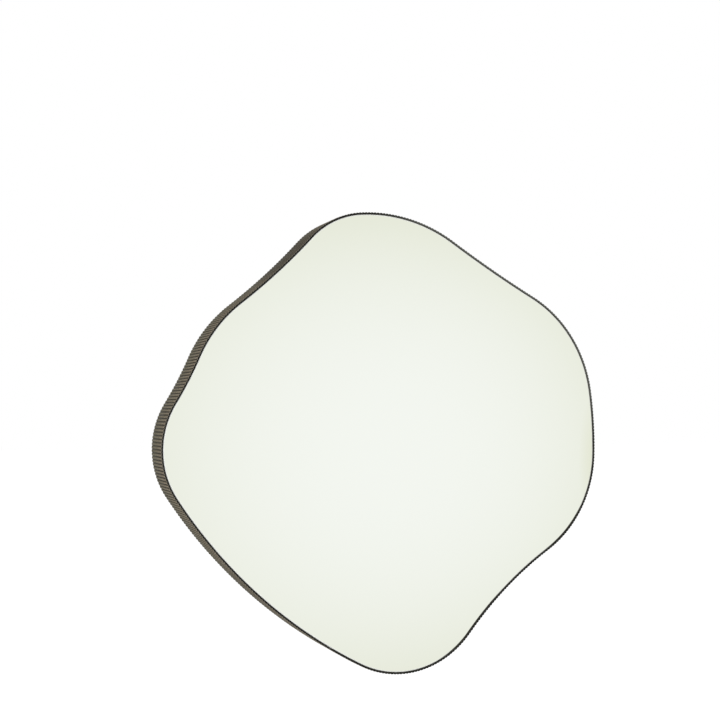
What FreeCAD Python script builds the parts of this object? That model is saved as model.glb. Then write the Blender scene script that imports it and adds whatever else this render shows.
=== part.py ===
"""Wall mirror with an irregular pebble outline and a deep band of fine upright ribs.

The glass faces -Y and the wall is on the +Y side. The origin lies midway between the entry
holes of the two keyhole plates, on their back faces, and +Z is up. Every outline is drawn
about the middle of the mirror, which is one hanging height below the origin.
"""
import FreeCAD, Part
import math
import os
import Sketcher

# The outline is the opening of the band: seven round lobes, going clockwise seen from the
# front, and between each lobe and the next a bridging arc that touches both. A positive
# bridge is a hollow stretch, a negative one is a full stretch. Sizes are in millimetres.
LOBE_SIZES = [
    # name, centre to the right, centre above the middle, radius, bridge to the next lobe
    ("top", -32, 180, 100, -195),
    ("shoulder", -20, 91, 189, 1680),
    ("upper_right", 121, 42, 161, -510),
    ("lower_right", 137, -13, 148, 470),
    ("bottom", 12, -164, 116, -610),
    ("left", -182, -6, 103, 440),
    ("upper_left", -91, 36, 165, 760),
]
LOBES = [row[0] for row in LOBE_SIZES]
SPLICED_LOBE = "bottom"

# Driving dimensions in millimetres, as (name, value, meaning).
SIZES = [
    ("rib_pitch", 4.0, "distance from one rib of the band to the next"),
    ("rib_height", 0.8, "how far a rib stands out of the band's wall"),
    ("band_wall", 1.5, "band thickness in the grooves between the ribs"),
    ("lip_reveal", 0.8, "how far the band stands proud of the glass"),
    ("rear_recess", 2.0, "how deep the rear board lies inside the band's back edge"),
    ("glass_thickness", 4.0, "silvered float glass"),
    ("glass_gap", 0.3, "between the edge of the glass and the band"),
    ("glass_arris", 0.8, "width of the ground arris round the front of the glass"),
    ("film_thickness", 0.2, "safety film on the silvering"),
    ("film_margin", 3.0, "from the band's opening to the edge of the film"),
    ("tape_thickness", 1.0, "foam mounting tape"),
    ("tape_width", 25.0, "foam mounting tape"),
    ("tape_length", 120.0, "one strip of tape"),
    ("tape_column_pitch", 130.0, "between the columns of tape strips"),
    ("tape_row_pitch", 170.0, "between the rows of tape strips"),
    ("front_board_thickness", 9.0, "fibreboard that carries the glass"),
    ("rear_board_thickness", 9.0, "fibreboard that closes the back"),
    ("board_gap", 0.2, "glue line between the boards and the band"),
    ("block_depth", 29.0, "spacer block, from board to board"),
    ("block_length", 50.0, "spacer block, along the outline"),
    ("block_width", 22.0, "spacer block, across the outline"),
    ("block_inset", 6.0, "from the band's opening to a block"),
    ("block_count", 6, "spacer blocks round the outline"),
    ("splice_length", 60.0, "strip behind the joint of the band, from end to end"),
    ("splice_thickness", 1.5, "strip behind the joint of the band"),
    ("splice_gap", 0.1, "glue line between the splice and the band"),
    ("splice_end_gap", 0.5, "between the splice and each board"),
    ("board_screw_shank", 3.5, "rear board screw, shank diameter"),
    ("board_screw_head", 7.0, "rear board screw, pan head diameter"),
    ("board_screw_head_height", 1.9, "rear board screw, pan head"),
    ("board_screw_length", 25.0, "rear board screw, under its head"),
    ("screw_clearance", 0.1, "round a screw in its hole, on the radius"),
    ("hang_spacing", 260.0, "between the two keyhole plates"),
    ("hang_height", 150.0, "entry holes above the middle of the mirror"),
    ("entry_diameter", 10.0, "hole that the head of the wall screw enters"),
    ("slot_width", 5.0, "slot that the neck of the wall screw slides up"),
    ("slot_rise", 12.0, "from the entry hole's centre to the slot's end centre"),
    ("cavity_margin", 1.5, "room round the wall screw's head behind the plate"),
    ("plate_thickness", 1.5, "keyhole plate"),
    ("plate_width", 20.0, "keyhole plate"),
    ("plate_end", 18.0, "from the keyhole opening to each end of its plate"),
    ("plate_gap", 0.3, "between a keyhole plate and its recess"),
    ("plate_screw_offset", 11.0, "from the keyhole opening to the centre of a plate screw"),
    ("plate_screw_shank", 3.0, "keyhole plate screw, shank diameter"),
    ("plate_screw_head", 5.6, "keyhole plate screw, pan head diameter"),
    ("plate_screw_head_height", 1.6, "keyhole plate screw, pan head"),
    ("plate_screw_length", 7.5, "keyhole plate screw, under its head"),
    ("bumper_diameter", 12.0, "wall bumper"),
    ("bumper_thickness", 4.0, "wall bumper, which keeps the mirror off the wall"),
    ("upper_bumper_spacing", 160.0, "between the two upper bumpers"),
    ("upper_bumper_height", 200.0, "upper bumpers above the middle"),
    ("lower_bumper_spacing", 280.0, "between the two lower bumpers"),
    ("lower_bumper_drop", 130.0, "lower bumpers below the middle"),
]

# The layers from the origin's plane, the back of the rear board, to the front of the band.
LAYERS = [
    "rear_board_thickness",
    "block_depth",
    "front_board_thickness",
    "tape_thickness",
    "film_thickness",
    "glass_thickness",
    "lip_reveal",
]
TAPE_COLUMNS = 3
TAPE_ROWS = 2
BLOCK_SLIDES = sorted(range(-60, 61), key=abs)  # along the outline, the nearest first

# Expressions for the keyhole opening, with heights from the centre of its entry hole.
OPENING_LENGTH = "(Sizes.entry_diameter / 2 + Sizes.slot_rise + Sizes.slot_width / 2)"
OPENING_MIDDLE = "(%s / 2 - Sizes.entry_diameter / 2)" % OPENING_LENGTH
PLATE_LENGTH = "(%s + 2 * Sizes.plate_end)" % OPENING_LENGTH
PLATE_SCREW_REACH = "(%s / 2 + Sizes.plate_screw_offset)" % OPENING_LENGTH
CAVITY_WIDTH = "(Sizes.entry_diameter + 2 * Sizes.cavity_margin)"

doc = FreeCAD.newDocument("pebble_mirror")
sheet = doc.addObject("Spreadsheet::Sheet", "Sizes")
sub_parts = []


# ---------------------------------------------------------------- sheet and small helpers

def fill_sheet():
    """One row for each size: its meaning, then its value under its name."""
    rows = list(SIZES)
    for name, x, z, radius, bridge in LOBE_SIZES:
        rows.append((name + "_x", x, name + " lobe, centre to the right"))
        rows.append((name + "_z", z, name + " lobe, centre above the middle"))
        rows.append((name + "_radius", radius, name + " lobe, radius"))
        rows.append((name + "_bridge", bridge, "arc from the " + name + " lobe to the next"))
    for number, (name, value, meaning) in enumerate(rows, start=1):
        sheet.set("A%d" % number, meaning)
        sheet.set("B%d" % number, str(value))
        sheet.setAlias("B%d" % number, name)
    doc.recompute()


def size(name):
    return float(sheet.get(name))


def evaluate(expression):
    return float(sheet.evalExpression(expression))


def back_of(layer):
    """Expression for the distance from the origin's plane to the back of a layer."""
    behind = LAYERS[:LAYERS.index(layer)]
    return "(0%s)" % "".join(" + Sizes." + name for name in behind)


def direction(angle):
    """Unit vector in the outline's own plane."""
    return FreeCAD.Vector(math.cos(angle), math.sin(angle), 0)


def upright(point):
    """From the outline's own plane to the upright XZ plane."""
    return FreeCAD.Vector(point.x, 0, point.y)


def register(item, label):
    """Name a finished sub-part, which also names its file."""
    item.Label = label
    sub_parts.append(item)


def place(item, y):
    """Place a sub-part that is drawn about the middle of the mirror."""
    item.setExpression("Placement.Base.y", y)
    item.setExpression("Placement.Base.z", "-Sizes.hang_height")


# ---------------------------------------------------------------- sketches and features

def new_body(label):
    body = doc.addObject("PartDesign::Body", label)
    register(body, label)
    return body


def new_sketch(body, name, role="XZ_Plane"):
    """Sketch on a plane of the body. On XZ its x is +X, its y is +Z and it looks along -Y."""
    sketch = body.newObject("Sketcher::SketchObject", name)
    planes = [plane for plane in body.Origin.OriginFeatures if plane.Role == role]
    sketch.AttachmentSupport = [(planes[0], "")]
    sketch.MapMode = "FlatFace"
    return sketch


def add_circle(sketch, centre, radius):
    circle = Part.Circle(centre, FreeCAD.Vector(0, 0, 1), radius)
    return sketch.addGeometry(circle, False)


def add_arc(sketch, centre, radius, start, end):
    circle = Part.Circle(centre, FreeCAD.Vector(0, 0, 1), radius)
    return sketch.addGeometry(Part.ArcOfCircle(circle, start, end), False)


def add_line(sketch, start, end):
    return sketch.addGeometry(Part.LineSegment(start, end), False)


def tie(sketch, kind, *references):
    """Add a constraint that has no size."""
    sketch.addConstraint(Sketcher.Constraint(kind, *references))


def bind(sketch, kind, references, expression):
    """Add a constraint whose size comes from the sheet."""
    value = evaluate(expression)
    index = sketch.addConstraint(Sketcher.Constraint(kind, *references, value))
    sketch.setExpression("Constraints[%d]" % index, expression)


def fix_point(sketch, index, vertex, x, y):
    """Bind a point to two expressions; "0" puts it on an axis. Vertex 3 is a centre."""
    for kind, expression, axis in (("DistanceX", x, -2), ("DistanceY", y, -1)):
        if expression == "0":
            tie(sketch, "PointOnObject", index, vertex, axis)
        else:
            bind(sketch, kind, (index, vertex), expression)


def pad(body, sketch, name, length):
    feature = body.newObject("PartDesign::Pad", name)
    feature.Profile = sketch
    feature.setExpression("Length", length)
    doc.recompute()


def cut_checked(body, feature, before):
    """Stop where a cut takes nothing away."""
    body.Tip = feature
    doc.recompute()
    if not body.Shape.Volume < before - 1e-3:
        raise RuntimeError("%s removes nothing from %s" % (feature.Name, body.Label))


def pocket(body, sketch, name, depth=None):
    """Cut a sketch into the solid in front of it, to a depth or right through."""
    before = body.Shape.Volume
    feature = body.newObject("PartDesign::Pocket", name)
    feature.Profile = sketch
    feature.Reversed = True
    if depth:
        feature.setExpression("Length", depth)
    else:
        feature.Type = "ThroughAll"
    cut_checked(body, feature, before)


def chamfer_rim(body, name, y, width):
    """Chamfer the edges that lie in the plane at y."""
    base = body.Tip
    before = base.Shape.Volume
    rim = []
    for number, edge in enumerate(base.Shape.Edges, start=1):
        if all(abs(vertex.Point.y - y) < 1e-6 for vertex in edge.Vertexes):
            rim.append("Edge%d" % number)
    feature = body.newObject("PartDesign::Chamfer", name)
    feature.Base = (base, rim)
    feature.setExpression("Size", width)
    cut_checked(body, feature, before)


# ---------------------------------------------------------------- the pebble outline

def outline_arcs(offset):
    """The outline at an offset, positive outwards, as (centre, radius, start, sweep).

    Angles are in radians in the outline's plane. A lobe sweeps clockwise, and so does a full
    bridge; a hollow bridge sweeps the other way. An offset changes no centre.
    """
    lobes = []
    for name in LOBES:
        centre = FreeCAD.Vector(size(name + "_x"), size(name + "_z"), 0)
        lobes.append((centre, size(name + "_radius"), size(name + "_bridge")))
    bridges = []
    for (centre, radius, bridge), following in zip(lobes, lobes[1:] + lobes[:1]):
        bridges.append(bridge_between(centre, radius, bridge, following[0], following[1]))
    arcs = []
    for index, (centre, radius, bridge) in enumerate(lobes):
        arrival = bridges[index - 1][2]
        middle, departure, landing = bridges[index]
        arcs.append(arc_between(centre, radius + offset, arrival, departure))
        arcs.append(arc_between(middle, abs(bridge - offset), departure, landing))
    return arcs


def bridge_between(centre, radius, bridge, next_centre, next_radius):
    """Centre of the arc that touches two lobes, and the points where it touches them."""
    reach = abs(radius + bridge)
    next_reach = abs(next_radius + bridge)
    span = (next_centre - centre).Length
    along = (next_centre - centre) / span
    outward = FreeCAD.Vector(-along.y, along.x, 0)
    run = (reach ** 2 - next_reach ** 2 + span ** 2) / (2 * span)
    rise = math.copysign(math.sqrt(reach ** 2 - run ** 2), bridge)
    middle = centre + along * run + outward * rise
    departure = centre + (middle - centre) * (radius / (radius + bridge))
    landing = next_centre + (middle - next_centre) * (next_radius / (next_radius + bridge))
    return middle, departure, landing


def arc_between(centre, radius, first, last):
    """The shorter arc about a centre, from the direction of one point to another."""
    start = math.atan2(first.y - centre.y, first.x - centre.x)
    end = math.atan2(last.y - centre.y, last.x - centre.x)
    sweep = (end - start + math.pi) % (2 * math.pi) - math.pi
    return centre, radius, start, sweep


def outline_length(arcs):
    return sum(radius * abs(sweep) for centre, radius, start, sweep in arcs)


def along_outline(arcs, distance):
    """Point at a distance along the outline, and the angle of its outward normal."""
    distance = distance % outline_length(arcs)
    for centre, radius, start, sweep in arcs:
        length = radius * abs(sweep)
        if distance <= length:
            break
        distance -= length
    angle = start + math.copysign(distance / radius, sweep)
    outward = angle if sweep < 0 else angle + math.pi
    return centre + direction(angle) * radius, outward


def seam_distance(arcs):
    """Distance along the outline to the joint of the band, mid-way on the lowest lobe."""
    index = 2 * LOBES.index(SPLICED_LOBE)
    centre, radius, start, sweep = arcs[index]
    return outline_length(arcs[:index]) + radius * abs(sweep) / 2


def pebble_sketch(body, name, inset):
    """Sketch of the outline, drawn in by the size that inset names."""
    arcs = outline_arcs(-size(inset))
    sketch = new_sketch(body, name)
    for centre, radius, start, sweep in arcs:
        low, high = sorted((start, start + sweep))
        add_arc(sketch, centre, radius, low, high)
    # An arc's own start is 1 and its end is 2, counter-clockwise.
    leaving = [1 if sweep < 0 else 2 for centre, radius, start, sweep in arcs]
    arriving = [2 if sweep < 0 else 1 for centre, radius, start, sweep in arcs]
    for index in range(len(arcs)):
        following = (index + 1) % len(arcs)
        tie(sketch, "Tangent", index, leaving[index], following, arriving[following])
    for number, lobe in enumerate(LOBES):
        lobe_arc = 2 * number
        bridge_arc = lobe_arc + 1
        bridge = "(Sizes.%s_bridge + Sizes.%s)" % (lobe, inset)
        if size(lobe + "_bridge") < 0:
            bridge = "-" + bridge
        bind(sketch, "DistanceX", (lobe_arc, 3), "Sizes.%s_x" % lobe)
        bind(sketch, "DistanceY", (lobe_arc, 3), "Sizes.%s_z" % lobe)
        bind(sketch, "Radius", (lobe_arc,), "Sizes.%s_radius - Sizes.%s" % (lobe, inset))
        bind(sketch, "Radius", (bridge_arc,), bridge)
    return sketch


def pebble_plate(label, inset, layer):
    """A flat plate of the outline that fills one layer."""
    body = new_body(label)
    sketch = pebble_sketch(body, label + "_outline", inset)
    pad(body, sketch, label + "_pad", "Sizes." + layer)
    place(body, "-" + back_of(layer))
    return body


# ---------------------------------------------------------------- ribbed band

def rib_face():
    """Cross-section of the band: a ring whose outer edge is a run of small ribs."""
    root = outline_arcs(size("band_wall"))
    crest = outline_arcs(size("band_wall") + size("rib_height"))
    rib_count = round(outline_length(crest) / size("rib_pitch"))
    step = outline_length(root) / rib_count
    seam = seam_distance(root)
    corners = []
    for number in range(rib_count):
        groove = along_outline(root, seam + number * step)[0]
        point, outward = along_outline(root, seam + (number + 0.5) * step)
        corners += [groove, point + direction(outward) * size("rib_height")]
    outer_wire = Part.makePolygon([upright(corner) for corner in corners + corners[:1]])
    inner_wire = Part.Wire([arc_edge(arc) for arc in outline_arcs(0)])
    face = Part.Face([outer_wire, inner_wire])
    face.validate()
    return face


def arc_edge(arc):
    centre, radius, start, sweep = arc
    angles = [start + share * sweep for share in (0, 0.5, 1)]
    points = [upright(centre + direction(angle) * radius) for angle in angles]
    return Part.Arc(*points).toShape()


def ribbed_band():
    """The reeded strip that runs right round the mirror, from the lip to the back edge."""
    profile = doc.addObject("Part::Feature", "band_profile")
    profile.Shape = rib_face()
    place(profile, "Sizes.rear_recess")
    band = doc.addObject("Part::Extrusion", "ribbed_band")
    band.Base = profile
    band.DirMode = "Custom"
    band.Dir = FreeCAD.Vector(0, -1, 0)
    band.Solid = True
    band.setExpression("LengthFwd", back_of("lip_reveal") + " + Sizes.lip_reveal + Sizes.rear_recess")
    register(band, "ribbed_band")


def band_splice():
    """Strip glued inside the band across its joint, between the two boards."""
    body = new_body("band_splice")
    sketch = new_sketch(body, "splice_section")
    centre, radius, start, sweep = outline_arcs(0)[2 * LOBES.index(SPLICED_LOBE)]
    outer_radius = "Sizes.%s_radius - Sizes.splice_gap" % SPLICED_LOBE
    inner_radius = outer_radius + " - Sizes.splice_thickness"
    outer = evaluate(outer_radius)
    inner = evaluate(inner_radius)
    middle = start + sweep / 2
    half = math.asin(size("splice_length") / (2 * outer))
    outer_arc = add_arc(sketch, centre, outer, middle - half, middle + half)
    inner_arc = add_arc(sketch, centre, inner, middle - half, middle + half)
    for vertex, angle in ((1, middle - half), (2, middle + half)):
        end = add_line(sketch, centre + direction(angle) * outer, centre + direction(angle) * inner)
        tie(sketch, "Coincident", outer_arc, vertex, end, 1)
        tie(sketch, "Coincident", inner_arc, vertex, end, 2)
        tie(sketch, "PointOnObject", outer_arc, 3, end)
    tie(sketch, "Coincident", outer_arc, 3, inner_arc, 3)
    tie(sketch, "DistanceX", outer_arc, 1, centre.x + outer * math.cos(middle - half))
    fix_point(sketch, outer_arc, 3, "Sizes.%s_x" % SPLICED_LOBE, "Sizes.%s_z" % SPLICED_LOBE)
    bind(sketch, "Radius", (outer_arc,), outer_radius)
    bind(sketch, "Radius", (inner_arc,), inner_radius)
    bind(sketch, "Distance", (outer_arc, 1, outer_arc, 2), "Sizes.splice_length")
    pad(body, sketch, "splice_pad", "Sizes.block_depth - 2 * Sizes.splice_end_gap")
    place(body, "-%s - Sizes.splice_end_gap" % back_of("block_depth"))


# ---------------------------------------------------------------- glass, film and tape

def mirror_glass():
    """Silvered glass with a ground arris round its front edge."""
    body = pebble_plate("mirror_glass", "glass_gap", "glass_thickness")
    chamfer_rim(body, "arris", -size("glass_thickness"), "Sizes.glass_arris")


def backing_film():
    """Safety film on the back of the glass."""
    pebble_plate("backing_film", "film_margin", "film_thickness")


def mounting_tapes():
    """Strips of foam tape that hold the glass to the front board."""
    strips = []
    for column in range(TAPE_COLUMNS):
        for row in range(TAPE_ROWS):
            strip = doc.addObject("Part::Box", "tape_strip_%d_%d" % (column + 1, row + 1))
            strip.setExpression("Length", "Sizes.tape_width")
            strip.setExpression("Width", "Sizes.tape_thickness")
            strip.setExpression("Height", "Sizes.tape_length")
            across = "%s * Sizes.tape_column_pitch" % (column - (TAPE_COLUMNS - 1) / 2)
            up = "%s * Sizes.tape_row_pitch" % (row - (TAPE_ROWS - 1) / 2)
            strip.setExpression("Placement.Base.x", across + " - Sizes.tape_width / 2")
            strip.setExpression("Placement.Base.z", up + " - Sizes.tape_length / 2")
            strips.append(strip)
    group = doc.addObject("Part::Compound", "mounting_tapes")
    group.Links = strips
    place(group, "-%s - Sizes.tape_thickness" % back_of("tape_thickness"))
    register(group, "mounting_tapes")


# ---------------------------------------------------------------- boards and spacer blocks

def block_places():
    """Middle of each spacer block in the outline's plane, with its outward angle.

    A block whose screw would meet a keyhole plate slides along the outline until half a
    head's width of board is left between them.
    """
    arcs = outline_arcs(-(size("block_inset") + size("block_width") / 2))
    count = int(size("block_count"))
    step = outline_length(arcs) / count
    first = seam_distance(arcs) + step / 2
    reach = evaluate("Sizes.plate_width / 2 + Sizes.plate_gap + Sizes.board_screw_head")
    spots = []
    for number in range(count):
        choices = [along_outline(arcs, first + number * step + slide) for slide in BLOCK_SLIDES]
        spots.append(next(spot for spot in choices if plate_distance(spot[0]) >= reach))
    return spots


def plate_distance(point):
    """Distance from a point to the upright centre line of the nearer keyhole plate."""
    middle = size("hang_height") + evaluate(OPENING_MIDDLE)
    half = evaluate("(%s - Sizes.plate_width) / 2" % PLATE_LENGTH)
    across = abs(abs(point.x) - size("hang_spacing") / 2)
    return math.hypot(across, max(0, abs(point.y - middle) - half))


def board_screw_places():
    """Points of the rear board's screws, one in the middle of each block."""
    return [middle for middle, outward in block_places()]


def front_board():
    """Board that carries the glass, glued to the spacer blocks."""
    pebble_plate("front_board", "board_gap", "front_board_thickness")


def rear_board():
    """Closing board with the holes of its screws and the recesses of the keyhole plates."""
    body = pebble_plate("rear_board", "board_gap", "rear_board_thickness")
    holes = screw_hole_sketch(body, "board_screw", board_screw_places())
    pocket(body, holes, "board_screw_hole_cut")
    for tag, across in (("left", "-Sizes.hang_spacing / 2"), ("right", "Sizes.hang_spacing / 2")):
        recess = new_sketch(body, "plate_recess_" + tag)
        up = "Sizes.hang_height + " + OPENING_MIDDLE
        fit = " + 2 * Sizes.plate_gap"
        upright_slot(recess, across, up, "Sizes.plate_width" + fit, PLATE_LENGTH + fit)
        pocket(body, recess, "plate_recess_cut_" + tag, "Sizes.plate_thickness")
        cavity = new_sketch(body, "head_cavity_" + tag)
        up = "Sizes.hang_height + Sizes.slot_rise / 2"
        upright_slot(cavity, across, up, CAVITY_WIDTH, "Sizes.slot_rise + " + CAVITY_WIDTH)
        pocket(body, cavity, "head_cavity_cut_" + tag)
    pilots = screw_hole_sketch(body, "plate_screw", plate_screw_places())
    pocket(body, pilots, "plate_screw_hole_cut", "Sizes.plate_screw_length + Sizes.screw_clearance")


def screw_hole_sketch(body, kind, points):
    """Holes for one kind of screw, at points about the middle of the mirror."""
    sketch = new_sketch(body, kind + "_holes")
    radius = hole_radius(kind)
    for point in points:
        index = add_circle(sketch, point, evaluate(radius))
        tie(sketch, "DistanceX", index, 3, point.x)
        tie(sketch, "DistanceY", index, 3, point.y)
        bind(sketch, "Radius", (index,), radius)
    return sketch


def hole_radius(kind):
    return "Sizes.%s_shank / 2 + Sizes.screw_clearance" % kind


def spacer_blocks():
    """Blocks between the boards, each bored for its screw."""
    for number, (middle, outward) in enumerate(block_places(), start=1):
        label = "spacer_block_%d" % number
        box = doc.addObject("Part::Box", label + "_stock")
        box.setExpression("Length", "Sizes.block_length")
        box.setExpression("Width", "Sizes.block_depth")
        box.setExpression("Height", "Sizes.block_width")
        box.setExpression("Placement.Base.x", "-Sizes.block_length / 2")
        box.setExpression("Placement.Base.y", "-Sizes.block_depth")
        box.setExpression("Placement.Base.z", "-Sizes.block_width / 2")
        bore = doc.addObject("Part::Cylinder", label + "_bore")
        bore.Placement.Rotation = FreeCAD.Rotation(FreeCAD.Vector(1, 0, 0), 90)
        bore.setExpression("Radius", hole_radius("board_screw"))
        bore.setExpression("Height", "Sizes.block_depth")
        block = doc.addObject("Part::Cut", label)
        block.Base = box
        block.Tool = bore
        turn = FreeCAD.Rotation(FreeCAD.Vector(0, -1, 0), math.degrees(outward) + 90)
        back = FreeCAD.Vector(0, evaluate(back_of("block_depth")), size("hang_height"))
        block.Placement = FreeCAD.Placement(upright(middle) - back, turn)
        register(block, label)


# ---------------------------------------------------------------- hanging hardware

def upright_slot(sketch, across, up, width, length):
    """Upright slot with round ends about a centre that two expressions give."""
    straight = "(%s - (%s))" % (length, width)
    low_end = "%s - %s / 2" % (up, straight)
    radius = evaluate(width) / 2
    low = FreeCAD.Vector(evaluate(across), evaluate(low_end), 0)
    high = low + FreeCAD.Vector(0, evaluate(straight), 0)
    right = FreeCAD.Vector(radius, 0, 0)
    top = add_arc(sketch, high, radius, 0, math.pi)
    bottom = add_arc(sketch, low, radius, math.pi, 2 * math.pi)
    left_side = add_line(sketch, high - right, low - right)
    right_side = add_line(sketch, low + right, high + right)
    tie(sketch, "Tangent", top, 2, left_side, 1)
    tie(sketch, "Tangent", left_side, 2, bottom, 1)
    tie(sketch, "Tangent", bottom, 2, right_side, 1)
    tie(sketch, "Tangent", right_side, 2, top, 1)
    tie(sketch, "Vertical", left_side)
    tie(sketch, "Vertical", right_side)
    fix_point(sketch, bottom, 3, across, low_end)
    bind(sketch, "Radius", (top,), "(%s) / 2" % width)
    bind(sketch, "DistanceY", (bottom, 3, top, 3), straight)


def keyhole_opening(sketch):
    """Round entry hole with the slot that rises out of its top."""
    entry = size("entry_diameter") / 2
    neck = size("slot_width") / 2
    corner = math.sqrt(entry ** 2 - neck ** 2)
    right_angle = math.atan2(corner, neck)
    left_angle = math.pi - right_angle
    centre = FreeCAD.Vector(0, 0, 0)
    slot_end = FreeCAD.Vector(0, size("slot_rise"), 0)
    right = FreeCAD.Vector(neck, 0, 0)
    corner_height = FreeCAD.Vector(0, corner, 0)
    hole = add_arc(sketch, centre, entry, left_angle, 2 * math.pi + right_angle)
    top = add_arc(sketch, slot_end, neck, 0, math.pi)
    left_side = add_line(sketch, slot_end - right, corner_height - right)
    right_side = add_line(sketch, corner_height + right, slot_end + right)
    fix_point(sketch, hole, 3, "0", "0")
    fix_point(sketch, top, 3, "0", "Sizes.slot_rise")
    tie(sketch, "Tangent", top, 2, left_side, 1)
    tie(sketch, "Tangent", right_side, 2, top, 1)
    tie(sketch, "Coincident", left_side, 2, hole, 1)
    tie(sketch, "Coincident", hole, 2, right_side, 1)
    tie(sketch, "Vertical", left_side)
    tie(sketch, "Vertical", right_side)
    bind(sketch, "Radius", (hole,), "Sizes.entry_diameter / 2")
    bind(sketch, "Radius", (top,), "Sizes.slot_width / 2")


def plate_screw_heights():
    """Expressions for the heights of a plate's two screws above its entry hole's centre."""
    return [OPENING_MIDDLE + sign + PLATE_SCREW_REACH for sign in (" - ", " + ")]


def plate_screw_places():
    """Points of the four keyhole plate screws, about the middle of the mirror."""
    points = []
    for side in (-1, 1):
        for height in plate_screw_heights():
            up = size("hang_height") + evaluate(height)
            points.append(FreeCAD.Vector(side * size("hang_spacing") / 2, up, 0))
    return points


def keyhole_plates():
    """Steel plates let into the rear board, in which the heads of two wall screws hang."""
    for tag, across in (("left", "-Sizes.hang_spacing / 2"), ("right", "Sizes.hang_spacing / 2")):
        body = new_body("keyhole_plate_" + tag)
        sketch = new_sketch(body, "plate_shape_" + tag)
        upright_slot(sketch, "0", OPENING_MIDDLE, "Sizes.plate_width", PLATE_LENGTH)
        keyhole_opening(sketch)
        radius = hole_radius("plate_screw")
        for height in plate_screw_heights():
            index = add_circle(sketch, FreeCAD.Vector(0, evaluate(height), 0), evaluate(radius))
            fix_point(sketch, index, 3, "0", height)
            bind(sketch, "Radius", (index,), radius)
        pad(body, sketch, "plate_pad_" + tag, "Sizes.plate_thickness")
        body.setExpression("Placement.Base.x", across)


def wall_bumpers():
    """Rubber discs on the rear board that stand the mirror off the wall."""
    corners = [
        ("-Sizes.upper_bumper_spacing / 2", "Sizes.upper_bumper_height"),
        ("Sizes.upper_bumper_spacing / 2", "Sizes.upper_bumper_height"),
        ("Sizes.lower_bumper_spacing / 2", "-Sizes.lower_bumper_drop"),
        ("-Sizes.lower_bumper_spacing / 2", "-Sizes.lower_bumper_drop"),
    ]
    for number, (across, up) in enumerate(corners, start=1):
        label = "wall_bumper_%d" % number
        body = new_body(label)
        sketch = new_sketch(body, label + "_disc")
        disc = add_circle(sketch, FreeCAD.Vector(0, 0, 0), size("bumper_diameter") / 2)
        fix_point(sketch, disc, 3, "0", "0")
        bind(sketch, "Diameter", (disc,), "Sizes.bumper_diameter")
        pad(body, sketch, label + "_pad", "Sizes.bumper_thickness")
        body.setExpression("Placement.Base.x", across)
        body.setExpression("Placement.Base.y", "Sizes.bumper_thickness")
        body.setExpression("Placement.Base.z", up + " - Sizes.hang_height")


# ---------------------------------------------------------------- screws

def pan_head_screw(kind):
    """Screw turned about the Y axis: its head lies behind the origin, its point towards -Y."""
    body = doc.addObject("PartDesign::Body", kind)
    sketch = new_sketch(body, kind + "_section", "XY_Plane")
    head = "Sizes.%s_head / 2" % kind
    shank = "Sizes.%s_shank / 2" % kind
    rise = "Sizes.%s_head_height" % kind
    tip = "-Sizes.%s_length" % kind
    corners = [("0", rise), (head, rise), (head, "0"), (shank, "0"), (shank, tip), ("0", tip)]
    points = [FreeCAD.Vector(evaluate(x), evaluate(y), 0) for x, y in corners]
    for start, end in zip(points, points[1:] + points[:1]):
        add_line(sketch, start, end)
    for index, (x, y) in enumerate(corners):
        tie(sketch, "Coincident", index, 2, (index + 1) % len(corners), 1)
        fix_point(sketch, index, 1, x, y)
    turned = body.newObject("PartDesign::Revolution", kind + "_turned")
    turned.Profile = sketch
    turned.ReferenceAxis = (sketch, ["V_Axis"])
    turned.Angle = 360
    doc.recompute()
    return body


def screw_group(label, kind, points):
    """All the screws of one kind, as separate solids in one sub-part."""
    screw = pan_head_screw(kind)
    copies = []
    for point in points:
        copy = screw.Shape.copy()
        copy.Placement.Base = upright(point) - FreeCAD.Vector(0, 0, size("hang_height"))
        copies.append(copy)
    group = doc.addObject("Part::Feature", label)
    group.Shape = Part.makeCompound(copies)
    register(group, label)


# ---------------------------------------------------------------- build, test and write

def test_document():
    """Stop on any failed object or unsound shape before anything is written."""
    doc.recompute()
    for item in doc.Objects:
        if "Invalid" in item.State or "Error" in item.State:
            raise RuntimeError("%s failed to build" % item.Label)
        if item.TypeId == "Sketcher::SketchObject" and item.DoF > 0:
            raise RuntimeError("%s is not fully constrained" % item.Label)
    for item in sub_parts:
        if item.Shape.isNull() or not item.Shape.isValid():
            raise RuntimeError("%s has no sound shape" % item.Label)


def write_parts():
    os.makedirs("parts", exist_ok=True)
    for item in sub_parts:
        item.Shape.exportStep("parts/%s.step" % item.Label)


def main():
    fill_sheet()
    ribbed_band()
    band_splice()
    mirror_glass()
    backing_film()
    mounting_tapes()
    front_board()
    spacer_blocks()
    rear_board()
    keyhole_plates()
    wall_bumpers()
    screw_group("rear_board_screws", "board_screw", board_screw_places())
    screw_group("keyhole_plate_screws", "plate_screw", plate_screw_places())
    test_document()
    write_parts()


main()
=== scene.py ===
"""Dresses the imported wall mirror: a pebble-shaped glass in a deep band of fine upright ribs.

Lengths are in metres, in the CAD model's frame: the glass faces -Y, the wall is on the +Y
side, and the origin lies midway between the entry holes of the two keyhole plates.
"""
import math

import bmesh
import bpy
from bpy.props import FloatProperty, FloatVectorProperty, IntProperty, PointerProperty
from mathutils import Matrix, Vector


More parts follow.
